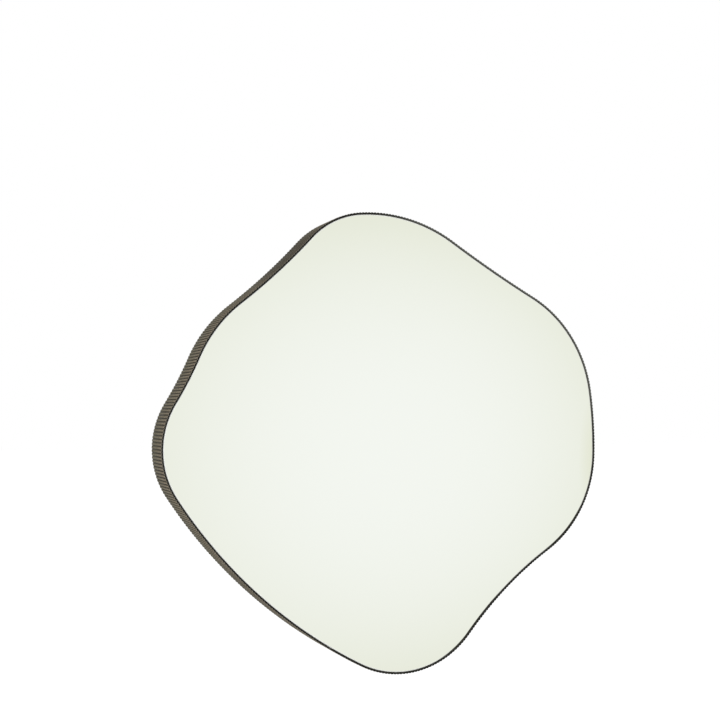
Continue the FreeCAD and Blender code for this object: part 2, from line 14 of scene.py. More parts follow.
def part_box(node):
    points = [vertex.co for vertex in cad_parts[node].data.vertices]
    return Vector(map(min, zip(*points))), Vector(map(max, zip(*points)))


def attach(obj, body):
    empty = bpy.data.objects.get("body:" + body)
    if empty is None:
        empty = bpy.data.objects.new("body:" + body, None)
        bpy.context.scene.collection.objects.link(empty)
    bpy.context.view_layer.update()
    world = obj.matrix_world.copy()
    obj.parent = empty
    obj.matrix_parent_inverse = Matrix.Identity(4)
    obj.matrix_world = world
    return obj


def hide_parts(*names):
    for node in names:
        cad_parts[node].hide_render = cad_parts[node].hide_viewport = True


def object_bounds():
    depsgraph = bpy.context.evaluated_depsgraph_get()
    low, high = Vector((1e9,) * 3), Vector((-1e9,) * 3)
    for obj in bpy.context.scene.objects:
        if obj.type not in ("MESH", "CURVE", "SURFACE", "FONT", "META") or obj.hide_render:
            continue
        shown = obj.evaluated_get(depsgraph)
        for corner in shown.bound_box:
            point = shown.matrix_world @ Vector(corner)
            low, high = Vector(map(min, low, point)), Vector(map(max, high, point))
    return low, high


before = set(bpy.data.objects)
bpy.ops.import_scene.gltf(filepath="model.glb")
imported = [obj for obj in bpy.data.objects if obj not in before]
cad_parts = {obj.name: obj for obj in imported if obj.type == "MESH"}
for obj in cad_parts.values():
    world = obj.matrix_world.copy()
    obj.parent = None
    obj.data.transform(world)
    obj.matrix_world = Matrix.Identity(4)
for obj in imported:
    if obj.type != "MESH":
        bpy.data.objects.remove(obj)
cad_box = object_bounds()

bl_info = {
    "name": "Pebble Wall Mirror",
    "version": (1, 0, 0),
    "blender": (4, 5, 0),
    "location": "3D View > Sidebar > Mirror",
    "description": "Builds the finished pieces of a pebble-shaped wall mirror round its CAD model",
    "category": "Object",
}

LOBES = ("top", "shoulder", "upper_right", "lower_right", "bottom", "left", "upper_left")

# Ovals in the plane of the glass, each a centre and how far it reaches across and up.
# painted shade that darkens the glass from its middle to its rim
GLASS_PAINTED_SHADE_OVAL = (-0.004, 0, -0.157), (0.331, 0.280)
RIGHT_RIM_PAINTED_SHADE = (0.291, 0, -0.180), (0.028, 0.095)  # painted shade at the right rim
HOLLOW_PAINTED_SHADE = (-0.128, 0, 0.074), (0.075, 0.075)  # painted shade in the upper left hollow
FOOT_PAINTED_SHADE = (-0.146, 0, -0.349), (0.095, 0.095)  # painted shade at the lower left
ARRIS_PAINTED_REFLECTION = (  # painted reflection of the dark lip in the arris
    ((0.242, 0, -0.265), (0.040, 0.040)),
    ((0.107, 0, -0.379), (0.062, 0.062)),
)
MIDDLE = GLASS_PAINTED_SHADE_OVAL[0]
TINT_AND_SHADE_POWER = 2.5  # how late the glass darkens towards its rim, through its green tint and painted shade

# Where painted light changes the lip's finish: an axis, and two distances from the middle along it.
LIT_LEFT_TO_SHADED_RIGHT = (1, 0, 0), -0.10, 0.05
LIP_PAINTED_LIGHT_CORNER = (0.66, 0, 0.75), 0.203, 0.243  # painted light at the upper right

TURN = (0, -1, 0)  # axis that turns +X towards +Z, as the outline's angles run
MERGE = 5e-5  # points nearer than this become one
LEVEL = 1e-6  # how far a point may lie from the plane that it counts as in
ANGLE_SLACK = 1e-3  # how far past its ends an arc still counts a point as its own

# Least share of a face's normal that lies along Y.
SQUARE = 0.9999  # face square to Y
FACING = 0.95  # face that looks along Y, and not the bevel beside it
SLOPING = 0.1  # that bevel, and not a side

# Angles between faces from which an edge counts.
SHARP = math.radians(32)  # shaded as an edge
CREASE = math.radians(1)  # the same, beside a face square to Y, which stays flat
CORNER = math.radians(60)  # rim of a solid, and not a facet of its outline

# Facets of the round parts.
PLATE_STEPS = 24  # one end of a keyhole plate
ENTRY_STEPS = 36
SLOT_STEPS = 16
HOLE_STEPS = 24
BUMPER_STEPS = 48

# A pan head from the rim of its flat crown to its seat, as shares of its radius and height.
HEAD_PROFILE = ((0.80, 0.08), (0.93, 0.22), (1.0, 0.45), (1.0, 1.0))
CROWN = 0.66  # radius of the flat crown, as a share of the head's
CROWN_STEPS = 24
CROSS_REACH = 0.48  # half the recess across, as a share of the head's radius
CROSS_CORNER = 0.1  # what lies further out than this both ways is no part of the cross
CROSS_TAPER = 0.6
CROSS_DEPTH = 0.6  # as a share of the head's height
TIP_LENGTH = 1.6  # point of a screw, as a share of its shank's radius
TIP_RADIUS = 0.12

DISH_RIM = 0.42  # width round a bumper's dish, as a share of the bumper's radius
DISH_SLOPE = 0.12

# How fine the patterns of the finishes are, in cells to a metre.
LACQUER_STREAKS = (900, 40, 900)
LACQUER_CLOUDS = 18.0
LIP_CLOUDS = 60.0
WHEEL_GRIT = 900.0
BOARD_FIBRES = 1100.0
BOARD_CLOUDS = 9.0
ZINC_CRYSTALS = 420.0
ZINC_SCRATCHES = (300, 300, 2600)
RUBBER_GRAIN = 1400.0
WOOD_RINGS = 120.0
FILM_MOTTLE = 300.0
FOAM_CELLS = 1500.0

# The relief of the finishes.
STREAK_RELIEF = 0.00003
FIBRE_RELIEF = 0.0001
SCRATCH_RELIEF = 0.00002
GRAIN_RELIEF = 0.00005
RING_RELIEF = 0.0001
MOTTLE_RELIEF = 0.00005

FLOOR_SIZE = 60.0
FLOOR_DROP = 0.7  # below the mirror
FLOOR_GLOW = 0.35
WORLD_LIGHT = 0.6
KEY_STRENGTH = 1.5
KEY_SPREAD = math.radians(30)
KEY_DIRECTION = (0.5, 0.85, -0.75)
LAMPS = (  # name, place, side, power in watts
    ("back_lamp", (0.9, 2.2, 0.9), 1.8, 30.0),
    ("low_lamp", (-0.5, -0.4, -0.85), 0.5, 2.6),
)
CAMERA_LENS = 57.5
CAMERA_SENSOR = 36.0
CAMERA_PLACE = (-0.5522, -1.3554, -0.1126)
CAMERA_FORWARD = (0.36279, 0.93078, 0.04510)


# ---------------------------------------------------------------- settings

def length(name, description, default, **options):
    return FloatProperty(name=name, description=description, default=default, min=0,
                         precision=5, unit="LENGTH", **options)


def lobe(name, default):
    return FloatVectorProperty(
        name=name, size=4, default=default, precision=4, unit="LENGTH",
        description="Centre to the right, centre above the middle, radius, bridge to the next lobe")


def colour(name, description, default):
    return FloatVectorProperty(name=name, description=description, default=default, size=3,
                               min=0, max=1, subtype="COLOR")


class MirrorOutline(bpy.types.PropertyGroup):
    """The band's opening: lobes joined by arcs, positive where hollow and negative where full"""
    top: lobe("Top lobe", (-0.032, 0.180, 0.100, -0.195))
    shoulder: lobe("Shoulder lobe", (-0.020, 0.091, 0.189, 1.680))
    upper_right: lobe("Upper right lobe", (0.121, 0.042, 0.161, -0.510))
    lower_right: lobe("Lower right lobe", (0.137, -0.013, 0.148, 0.470))
    bottom: lobe("Bottom lobe", (0.012, -0.164, 0.116, -0.610))
    left: lobe("Left lobe", (-0.182, -0.006, 0.103, 0.440))
    upper_left: lobe("Upper left lobe", (-0.091, 0.036, 0.165, 0.760))
    hang_height: length("Hanging height", "Entry holes above the mirror's middle", 0.150)


class MirrorSizes(bpy.types.PropertyGroup):
    """Sizes of the finished pieces"""
    rib_pitch: length("Rib pitch", "From one rib of the band to the next", 0.004)
    rib_height: length("Rib height", "How far a rib stands out of the band", 0.00076)
    rib_segments: IntProperty(name="Rib facets", description="Facets across one rib",
                              default=8, min=2)
    band_wall: length("Band wall", "Band thickness in the grooves", 0.0015)
    lip_bevel: length("Lip bevel", "Bevel round both rims of the front lip", 0.00035)
    glass_gap: length("Glass gap", "Between the glass and the band", 0.0003)
    glass_arris: length("Glass arris", "Ground edge round the front of the glass", 0.0012)
    outline_step: length("Outline step", "Longest facet along the glass outline", 0.003)
    plate_bevel: length("Plate edge", "Rounding of the stamped plates", 0.0003)
    entry_radius: length("Entry radius", "Hole that the wall screw's head enters", 0.005)
    slot_radius: length("Slot radius", "Half the width of the keyhole slot", 0.0025)
    slot_rise: length("Slot rise", "From the entry hole's centre to the slot's end centre", 0.012)
    plate_screw_offset: length("Screw offset", "From the keyhole opening to a screw", 0.011)
    plate_screw_hole: length("Screw hole", "Radius of a hole in a keyhole plate", 0.0016)
    plate_screw_head: length("Plate screw head", "Radius of the pan head", 0.0028)
    plate_screw_shank: length("Plate screw shank", "Radius of the shank", 0.0015)
    plate_screw_length: length("Plate screw length", "Under the head", 0.0075)
    board_screw_head: length("Board screw head", "Radius of the pan head", 0.0035)
    board_screw_shank: length("Board screw shank", "Radius of the shank", 0.00175)
    board_screw_length: length("Board screw length", "Under the head", 0.025)
    bumper_round: length("Bumper rounding", "Rounding of a wall bumper's rim", 0.0012)
    bumper_dish: length("Bumper dish", "Depth of the hollow in a bumper's face", 0.0005)


class MirrorColours(bpy.types.PropertyGroup):
    """Colours of the finished pieces"""
    rib_crest: colour("Rib crest", "Lacquer on the crests of the ribs", (0.236, 0.194, 0.140))
    # painted shade in the grooves, also the tone of the lacquer's streaks and of the painted shade
    # in the hollow and at the lower left
    rib_painted_shade_and_streak: colour("Rib groove", "Lacquer in the grooves", (0.033, 0.028, 0.019))
    rib_back: colour("Rib, back edge", "Crests towards the wall", (0.117, 0.109, 0.065))
    lip: colour("Front lip", "Dark cut edge of the band", (0.006, 0.006, 0.005))
    # painted light on the lip's upper right, also the tone of its faint mottle
    lip_painted_light_and_mottle: colour("Front lip, upper right", "Paler stretch of the lip", (0.100, 0.103, 0.091))
    lip_inner: colour("Lip, inner bevel", "Bevel inside the lip", (0.040, 0.042, 0.036))
    # painted light on the lip's outer bevel at the left
    lip_outer_painted_light: colour("Lip, outer bevel", "Bevel at the rib ends, left", (0.190, 0.172, 0.138))
    glass_middle: colour("Glass, middle", "Tint of the silvering", (0.899, 0.924, 0.871))
    # green tint of the glass, darkened by painted shade towards the rim
    glass_rim_tint_and_painted_shade: colour("Glass, rim", "Tint towards the rim", (0.798, 0.822, 0.707))
    # painted shade at the right rim of the glass
    glass_right_rim_painted_shade: colour("Glass, right rim", "Tint at the right rim", (0.785, 0.807, 0.670))
    glass_arris: colour("Glass arris", "Ground arris", (0.84, 0.85, 0.82))
    glass_edge: colour("Glass edge", "Ground edges of the glass", (0.30, 0.42, 0.33))
    board: colour("Board", "Sealed fibreboard", (0.050, 0.040, 0.031))
    board_fibre: colour("Board fibre", "Lighter fibres of the board", (0.088, 0.072, 0.055))
    zinc: colour("Zinc", "Plated steel", (0.58, 0.58, 0.56))
    zinc_dull: colour("Dull zinc", "Duller crystals of the plating", (0.40, 0.41, 0.41))
    rubber: colour("Rubber", "Wall bumpers", (0.016, 0.016, 0.017))
    wood: colour("Softwood", "Spacer blocks", (0.46, 0.31, 0.17))
    wood_grain: colour("Softwood grain", "Late wood of the spacer blocks", (0.30, 0.17, 0.08))
    film: colour("Backing film", "Safety film behind the glass", (0.30, 0.33, 0.36))
    foam: colour("Foam tape", "Mounting tape", (0.020, 0.020, 0.022))
    aluminium: colour("Aluminium", "Splice strip", (0.62, 0.62, 0.62))


def outline_settings():
    return bpy.context.scene.mirror_outline


def sizes():
    return bpy.context.scene.mirror_sizes


def colours():
    return bpy.context.scene.mirror_colours


# ---------------------------------------------------------------- the pebble outline

def direction(angle):
    """Unit vector in the outline's own plane."""
    return Vector((math.cos(angle), math.sin(angle)))


def upright(point, y):
    """From the outline's own plane to the upright plane at y."""
    return Vector((point.x, y, point.y - outline_settings().hang_height))


def outline_arcs(offset=0.0):
    """The outline at an offset, positive outwards, as (centre, radius, start, sweep)."""
    lobes = []
    for name in LOBES:
        across, up, radius, bridge = getattr(outline_settings(), name)
        lobes.append((Vector((across, up)), radius, bridge))
    bridges = [bridge_between(*pair) for pair in zip(lobes, lobes[1:] + lobes[:1])]
    arcs = []
    for index, (centre, radius, bridge) in enumerate(lobes):
        middle, departure, landing = bridges[index]
        arcs.append(arc_between(centre, radius + offset, bridges[index - 1][2], departure))
        arcs.append(arc_between(middle, abs(bridge - offset), departure, landing))
    return arcs


def bridge_between(first, second):
    """Centre of the arc that touches two lobes, and the points where it touches them."""
    centre, radius, bridge = first
    next_centre, next_radius = second[:2]
    reach = abs(radius + bridge)
    next_reach = abs(next_radius + bridge)
    span = (next_centre - centre).length
    forward = (next_centre - centre) / span
    run = (reach ** 2 - next_reach ** 2 + span ** 2) / (2 * span)
    rise = math.copysign(math.sqrt(reach ** 2 - run ** 2), bridge)
    middle = centre + forward * run + Vector((-forward.y, forward.x)) * rise
    departure = centre + (middle - centre) * (radius / (radius + bridge))
    landing = next_centre + (middle - next_centre) * (next_radius / (next_radius + bridge))
    return middle, departure, landing


def arc_between(centre, radius, first, last):
    """The arc about a centre from one point's direction to another's, the short way."""
    start = math.atan2(first.y - centre.y, first.x - centre.x)
    end = math.atan2(last.y - centre.y, last.x - centre.x)
    return centre, radius, start, (end - start + math.pi) % math.tau - math.pi


def outline_distance(arcs, point):
    """How far a point lies outside the outline."""
    flat = Vector((point.x, point.z + outline_settings().hang_height))
    nearest = None
    for centre, radius, start, sweep in arcs:
        ray = flat - centre
        turn = math.atan2(ray.y, ray.x) - start
        turn = (turn + math.pi) % math.tau - math.pi
        if -ANGLE_SLACK <= turn * math.copysign(1, sweep) <= abs(sweep) + ANGLE_SLACK:
            side = 1 if sweep < 0 else -1
            distance = (ray.length - radius) * side
            if nearest is None or abs(distance) < abs(nearest):
                nearest = distance
    return nearest


# ---------------------------------------------------------------- mesh helpers

def spin(bm, geom, hub, angle, steps, copies=False):
    """Sweep geometry about an axis through the hub, or leave copies of it along the way."""
    bmesh.ops.spin(bm, geom=geom, cent=hub, axis=TURN, angle=angle, steps=steps,
                   use_duplicate=copies)


def add_arc(bm, hub, start, angle, steps):
    """Chain of edges from a start point about a hub; returns its first and last points."""
    count = len(bm.verts)
    spin(bm, [bm.verts.new(start)], hub, angle, steps)
    bm.verts.ensure_lookup_table()
    return bm.verts[count], bm.verts[-1]


def add_outline(bm, offset, y):
    """Closed loop of edges along the pebble outline at an offset."""
    for centre, radius, start, sweep in outline_arcs(offset):
        steps = max(4, math.ceil(radius * abs(sweep) / sizes().outline_step))
        first = upright(centre + direction(start) * radius, y)
        add_arc(bm, upright(centre, y), first, sweep, steps)
    bmesh.ops.remove_doubles(bm, verts=bm.verts[:], dist=MERGE)


def thicken(bm, faces, depth):
    """Extrude flat faces along Y into a closed solid."""
    grown = bmesh.ops.extrude_face_region(bm, geom=faces)["geom"]
    bmesh.ops.translate(bm, verts=points(grown), vec=(0, depth, 0))
    bmesh.ops.recalc_face_normals(bm, faces=bm.faces[:])


def bevel(bm, edges, width, segments):
    """Round edges off; the new faces take the finish beside them."""
    bmesh.ops.bevel(bm, geom=edges, offset=width, offset_type="OFFSET", segments=segments,
                    profile=0.5, affect="EDGES", material=-1, clamp_overlap=True)


def points(geom):
    """The vertices among what an operator returned."""
    return [item for item in geom if isinstance(item, bmesh.types.BMVert)]


def at_depth(edge, y):
    """Whether an edge lies in the upright plane at y."""
    return all(abs(vert.co.y - y) < LEVEL for vert in edge.verts)


def add_circle(bm, x, y, z, radius, segments):
    """Upright circle of edges."""
    place = Matrix.Translation((x, y, z)) @ Matrix.Rotation(math.pi / 2, 4, "X")
    bmesh.ops.create_circle(bm, cap_ends=False, segments=segments, radius=radius, matrix=place)


def join_round(bm, first, second):
    """Close two chains of edges into one loop."""
    bm.edges.new((first[1], second[0]))
    bm.edges.new((second[1], first[0]))


def plate_screw_places(node):
    """Where a keyhole plate's two screws sit, below and above its opening."""
    low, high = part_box(node)
    across = (low[0] + high[0]) / 2
    bottom = -sizes().entry_radius - sizes().plate_screw_offset
    top = sizes().slot_rise + sizes().slot_radius + sizes().plate_screw_offset
    return [Vector((across, 0, bottom)), Vector((across, 0, top))]


def finish_piece(bm, name, replaced, materials):
    """Turn a bmesh into a piece that rides on the mirror and stands for CAD nodes."""
    open_edges = [edge for edge in bm.edges if len(edge.link_faces) != 2]
    if open_edges:
        raise RuntimeError("%s has %d open edges" % (name, len(open_edges)))
    for edge in bm.edges:
        beside_flat = any(abs(face.normal.y) > SQUARE for face in edge.link_faces)
        edge.smooth = edge.calc_face_angle(0) < (CREASE if beside_flat else SHARP)
    for face in bm.faces:
        face.smooth = True
    mesh = bpy.data.meshes.new(name)
    bm.to_mesh(mesh)
    bm.free()
    for material in materials:
        mesh.materials.append(material)
    piece = bpy.data.objects.new(name, mesh)
    bpy.context.scene.collection.objects.link(piece)
    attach(piece, "root")
    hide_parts(*replaced)
    return piece


# ---------------------------------------------------------------- materials

def new_material(name, roughness, metallic=0.0, specular=0.5):
    """Material with one Principled shader; returns it with its node tree and shader."""
    material = bpy.data.materials.new(name)
    material.use_nodes = True
    tree = material.node_tree
    shader = tree.nodes["Principled BSDF"]
    shader.inputs["Roughness"].default_value = roughness
    shader.inputs["Metallic"].default_value = metallic
    shader.inputs["Specular IOR Level"].default_value = specular
    return material, tree, shader


def object_position(tree, centre=(0, 0, 0), scale=(1, 1, 1)):
    """Object coordinates, centred on a point and stretched."""
    mapping = tree.nodes.new("ShaderNodeMapping")
    mapping.inputs["Scale"].default_value = scale
    mapping.inputs["Location"].default_value = [-c * s for c, s in zip(centre, scale)]
    position = tree.nodes.new("ShaderNodeTexCoord")
    tree.links.new(position.outputs["Object"], mapping.inputs["Vector"])
    return mapping.outputs["Vector"]


def along(tree, axis, low, high):
    """0 to 1 between two distances from the mirror's middle along an axis."""
    node = tree.nodes.new("ShaderNodeVectorMath")
    node.operation = "DOT_PRODUCT"
    node.inputs[1].default_value = axis
    tree.links.new(object_position(tree, MIDDLE), node.inputs[0])
    return spread(tree, node.outputs["Value"], low, high)


def oval_distance(tree, oval):
    """Distance from an oval's centre, 1 on the oval itself."""
    centre, reach = oval
    node = tree.nodes.new("ShaderNodeVectorMath")
    node.operation = "LENGTH"
    scale = (1 / reach[0], 0, 1 / reach[1])
    tree.links.new(object_position(tree, centre, scale), node.inputs[0])
    return node.outputs["Value"]


def noise(tree, vector, scale, detail=4.0):
    """Soft noise from 0 to 1, with so many cells to a unit of the vector."""
    node = tree.nodes.new("ShaderNodeTexNoise")
    node.inputs["Scale"].default_value = scale
    node.inputs["Detail"].default_value = detail
    tree.links.new(vector, node.inputs["Vector"])
    return node.outputs["Fac"]


def spread(tree, value, low, high, new_low=0.0, new_high=1.0):
    """Map a range of values onto another."""
    node = tree.nodes.new("ShaderNodeMapRange")
    limits = {"From Min": low, "From Max": high, "To Min": new_low, "To Max": new_high}
    for socket, number in limits.items():
        node.inputs[socket].default_value = number
    tree.links.new(value, node.inputs["Value"])
    return node.outputs["Result"]


def blend(tree, factor, first, second):
    """Mix two colours, each a colour or the output of a node."""
    node = tree.nodes.new("ShaderNodeMix")
    node.data_type = "RGBA"
    sockets = [item for item in node.inputs if item.type == "RGBA"]
    tree.links.new(factor, node.inputs[0])
    for socket, value in zip(sockets, (first, second)):
        if isinstance(value, bpy.types.NodeSocket):
            tree.links.new(value, socket)
        else:
            socket.default_value = (*value, 1)
    return [item for item in node.outputs if item.type == "RGBA"][0]


def scaled(tint, share):
    """A colour made darker or paler."""
    return [value * share for value in tint]


def raise_surface(tree, shader, height, distance, strength=0.3):
    """Relief of so many metres from a height value."""
    node = tree.nodes.new("ShaderNodeBump")
    node.inputs["Strength"].default_value = strength
    node.inputs["Distance"].default_value = distance
    tree.links.new(height, node.inputs["Height"])
    tree.links.new(node.outputs["Normal"], shader.inputs["Normal"])


def band_lacquer():
    """Satin taupe lacquer with faint streaks along the ribs, paler on the crests; painted shade
    darkens the grooves, the upper left hollow and the lower left.
    """
    material, tree, shader = new_material("satin taupe lacquer", 0.5, specular=0.02)
    height = tree.nodes.new("ShaderNodeAttribute")
    height.attribute_name = "rib_height"
    crest = spread(tree, height.outputs["Fac"], 0.45, 0.97)
    low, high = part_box("ribbed_band")
    backwards = along(tree, (0, 1, 0), low[1], high[1])
    streaks = noise(tree, object_position(tree, scale=LACQUER_STREAKS), 1.0, detail=2.0)
    clouds = noise(tree, object_position(tree), LACQUER_CLOUDS)
    top = blend(tree, backwards, colours().rib_crest, colours().rib_back)
    # painted shade in the grooves
    base = blend(tree, crest, colours().rib_painted_shade_and_streak, top)
    base = blend(tree, spread(tree, streaks, 0.35, 0.75, 0.0, 0.28), base, colours().rib_painted_shade_and_streak)
    base = blend(tree, spread(tree, clouds, 0.4, 0.7, 0.0, 0.25), base, colours().rib_back)
    # painted shade in the upper left hollow and at the lower left
    hollow = spread(tree, oval_distance(tree, HOLLOW_PAINTED_SHADE), 0.3, 1.0, 0.66, 0.0)
    foot = spread(tree, oval_distance(tree, FOOT_PAINTED_SHADE), 0.6, 1.0, 0.30, 0.0)
    for shade in (hollow, foot):
        base = blend(tree, shade, base, colours().rib_painted_shade_and_streak)
    tree.links.new(base, shader.inputs["Base Color"])
    tree.links.new(spread(tree, streaks, 0.3, 0.7, 0.36, 0.52), shader.inputs["Roughness"])
    raise_surface(tree, shader, streaks, STREAK_RELIEF)
    return material


def lip_finish(name, left, right):
    """Smooth finish of the lip in two tints, with painted light on the left and painted shade on
    the right where they differ, and painted light that makes it paler towards the upper right.
    """
    material, tree, shader = new_material(name, 0.45, specular=0.06)
    clouds = noise(tree, object_position(tree), LIP_CLOUDS)
    # painted light on the left and painted shade on the right, where the two tints differ
    base = blend(tree, along(tree, *LIT_LEFT_TO_SHADED_RIGHT), left, right)
    base = blend(tree, spread(tree, clouds, 0.35, 0.7, 0.0, 0.04), base, colours().lip_painted_light_and_mottle)
    # painted light towards the upper right
    base = blend(tree, along(tree, *LIP_PAINTED_LIGHT_CORNER), base, colours().lip_painted_light_and_mottle)
    tree.links.new(base, shader.inputs["Base Color"])
    return material


def silvering():
    """Mirror with a faint green tint, and painted shade that darkens it from the middle to the rim
    and at the right rim.
    """
    material, tree, shader = new_material("silvering", 0.0, metallic=1.0)
    falloff = tree.nodes.new("ShaderNodeMath")
    falloff.operation = "POWER"
    falloff.inputs[1].default_value = TINT_AND_SHADE_POWER
    tree.links.new(oval_distance(tree, GLASS_PAINTED_SHADE_OVAL), falloff.inputs[0])
    tint = blend(tree, falloff.outputs[0], colours().glass_middle, colours().glass_rim_tint_and_painted_shade)
    # painted shade at the right rim
    shade = spread(tree, oval_distance(tree, RIGHT_RIM_PAINTED_SHADE), 0.35, 1.0, 1.0, 0.0)
    tint = blend(tree, shade, tint, colours().glass_right_rim_painted_shade)
    tree.links.new(tint, shader.inputs["Base Color"])
    return material


def glass_edge(name, tint, roughness):
    """Worked edge of the glass: the faint grit of the wheel, and stretches of painted reflection of
    the dark lip.
    """
    material, tree, shader = new_material(name, roughness)
    grit = noise(tree, object_position(tree), WHEEL_GRIT, detail=2.0)
    mottled = blend(tree, spread(tree, grit, 0.3, 0.7), tint, scaled(tint, 0.94))
    # painted reflection of the dark lip
    for oval in ARRIS_PAINTED_REFLECTION:
        dark = spread(tree, oval_distance(tree, oval), 0.6, 1.0, 0.9, 0.0)
        mottled = blend(tree, dark, mottled, colours().lip_inner)
    tree.links.new(mottled, shader.inputs["Base Color"])
    return material


def fibreboard():
    """Sealed fibreboard: short matted fibres under a dull dark sealer."""
    material, tree, shader = new_material("sealed fibreboard", 0.7, specular=0.25)
    matted = noise(tree, object_position(tree, scale=(1, 1, 1.6)), BOARD_FIBRES, detail=6.0)
    clouds = noise(tree, object_position(tree), BOARD_CLOUDS)
    base = blend(tree, spread(tree, matted, 0.45, 0.72), colours().board, colours().board_fibre)
    base = blend(tree, spread(tree, clouds, 0.35, 0.75, 0.0, 0.45), base,
                 scaled(colours().board, 0.6))
    tree.links.new(base, shader.inputs["Base Color"])
    tree.links.new(spread(tree, matted, 0.3, 0.7, 0.62, 0.82), shader.inputs["Roughness"])
    raise_surface(tree, shader, matted, FIBRE_RELIEF)
    return material


def zinc_plate():
    """Zinc plating: soft crystals in two greys."""
    material, tree, shader = new_material("zinc plate", 0.34, metallic=1.0)
    cells = tree.nodes.new("ShaderNodeTexVoronoi")
    cells.inputs["Scale"].default_value = ZINC_CRYSTALS
    tree.links.new(object_position(tree), cells.inputs["Vector"])
    base = blend(tree, cells.outputs["Distance"], colours().zinc, colours().zinc_dull)
    tree.links.new(base, shader.inputs["Base Color"])
    scratches = noise(tree, object_position(tree, scale=ZINC_SCRATCHES), 1.0, detail=3.0)
    tree.links.new(spread(tree, scratches, 0.3, 0.7, 0.26, 0.46), shader.inputs["Roughness"])
    raise_surface(tree, shader, scratches, SCRATCH_RELIEF)
    return material


def rubber():
    """Matt black rubber."""
    material, tree, shader = new_material("bumper rubber", 0.78, specular=0.3)
    grain = noise(tree, object_position(tree), RUBBER_GRAIN, detail=3.0)
    base = blend(tree, spread(tree, grain, 0.35, 0.7), colours().rubber,
                 scaled(colours().rubber, 1.8))
    tree.links.new(base, shader.inputs["Base Color"])
    raise_surface(tree, shader, grain, GRAIN_RELIEF, strength=0.4)
    return material


def softwood():
    """Planed softwood with growth rings along the block."""
    material, tree, shader = new_material("planed softwood", 0.6, specular=0.3)
    rings = tree.nodes.new("ShaderNodeTexWave")
    rings.inputs["Scale"].default_value = WOOD_RINGS
    rings.inputs["Distortion"].default_value = 5.0
    rings.inputs["Detail"].default_value = 3.0
    tree.links.new(object_position(tree, scale=(0.3, 1, 1)), rings.inputs["Vector"])
    base = blend(tree, rings.outputs["Fac"], colours().wood, colours().wood_grain)
    tree.links.new(base, shader.inputs["Base Color"])
    raise_surface(tree, shader, rings.outputs["Fac"], RING_RELIEF)
    return material


def plain_sheet(name, tint, roughness, metallic=0.0, scale=FILM_MOTTLE):
    """Thin sheet material with a fine even mottle."""
    material, tree, shader = new_material(name, roughness, metallic)
    mottle = noise(tree, object_position(tree), scale)
    base = blend(tree, spread(tree, mottle, 0.3, 0.7), tint, scaled(tint, 0.8))
    tree.links.new(base, shader.inputs["Base Color"])
    raise_surface(tree, shader, mottle, MOTTLE_RELIEF)
    return material


def larger(tree, first, second):
    """The larger of two values."""
    node = tree.nodes.new("ShaderNodeMath")
    node.operation = "MAXIMUM"
    tree.links.new(first, node.inputs[0])
    tree.links.new(second, node.inputs[1])
    return node.outputs[0]


def seen_directly(tree):
    """1 for rays from the camera, in a reflection or through glass, else 0."""
    path = tree.nodes.new("ShaderNodeLightPath")
    straight = larger(tree, path.outputs["Is Camera Ray"], path.outputs["Is Glossy Ray"])
    return larger(tree, straight, path.outputs["Is Transmission Ray"])


def floor_paint():
    """White floor that keeps the shadow and reads as white where nothing shades it."""
    material = bpy.data.materials.new("white floor")
    material.use_nodes = True
    tree = material.node_tree
    shader = tree.nodes["Principled BSDF"]
    shader.inputs["Base Color"].default_value = (0.8, 0.8, 0.8, 1)
    shader.inputs["Roughness"].default_value = 0.9
    shader.inputs["Specular IOR Level"].default_value = 0.0
    path = tree.nodes.new("ShaderNodeLightPath")
    mirrored = larger(tree, path.outputs["Is Glossy Ray"], path.outputs["Is Transmission Ray"])
    glow = tree.nodes.new("ShaderNodeEmission")
    strength = spread(tree, path.outputs["Is Camera Ray"], 0.0, 1.0, 0.0, FLOOR_GLOW)
    tree.links.new(strength, glow.inputs["Strength"])
    lit = tree.nodes.new("ShaderNodeAddShader")
    tree.links.new(shader.outputs["BSDF"], lit.inputs[0])
    tree.links.new(glow.outputs["Emission"], lit.inputs[1])
    white = tree.nodes.new("ShaderNodeEmission")
    white.inputs["Strength"].default_value = 1.0
    choice = tree.nodes.new("ShaderNodeMixShader")
    tree.links.new(mirrored, choice.inputs[0])
    tree.links.new(lit.outputs[0], choice.inputs[1])
    tree.links.new(white.outputs["Emission"], choice.inputs[2])
    tree.links.new(choice.outputs[0], tree.nodes["Material Output"].inputs["Surface"])
    return material


def dress(nodes, material):
    """Give CAD nodes that keep their own shape a finished material."""
    for name in nodes:
        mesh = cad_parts[name].data
        mesh.materials.clear()
        mesh.materials.append(material)


# ---------------------------------------------------------------- operators

